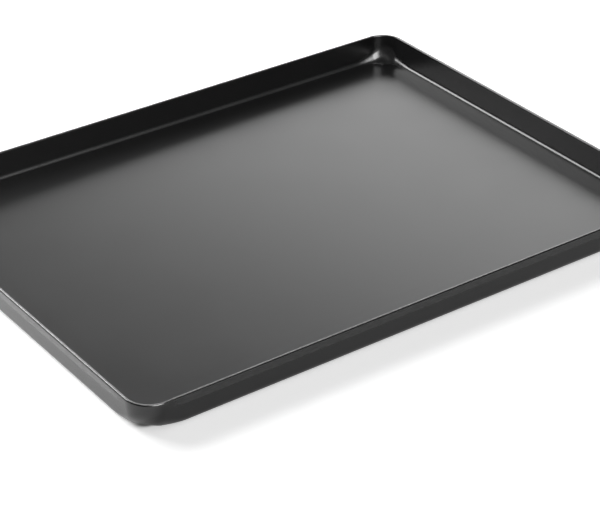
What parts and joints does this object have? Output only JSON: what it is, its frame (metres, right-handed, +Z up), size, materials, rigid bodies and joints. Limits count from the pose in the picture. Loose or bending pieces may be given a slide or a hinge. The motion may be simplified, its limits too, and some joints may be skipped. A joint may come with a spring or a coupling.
{
  "type": "confectionery tray",
  "caption": "Shallow rectangular display tray pressed from one black anodised aluminium sheet, with slightly flared walls, rounded corners and a plain rounded rim, for cakes and pastries.",
  "frame": {"origin": "middle of the underside, on the surface that the tray stands on", "axes": "+X along the long side, +Y along the short side, +Z up out of the open face"},
  "size_m": [0.4, 0.3, 0.02],
  "materials": {
    "black_anodised": "black anodised, satin"
  },
  "bodies": {
    "root": {"tray_pan": "black_anodised"}
  },
  "joints": []
}
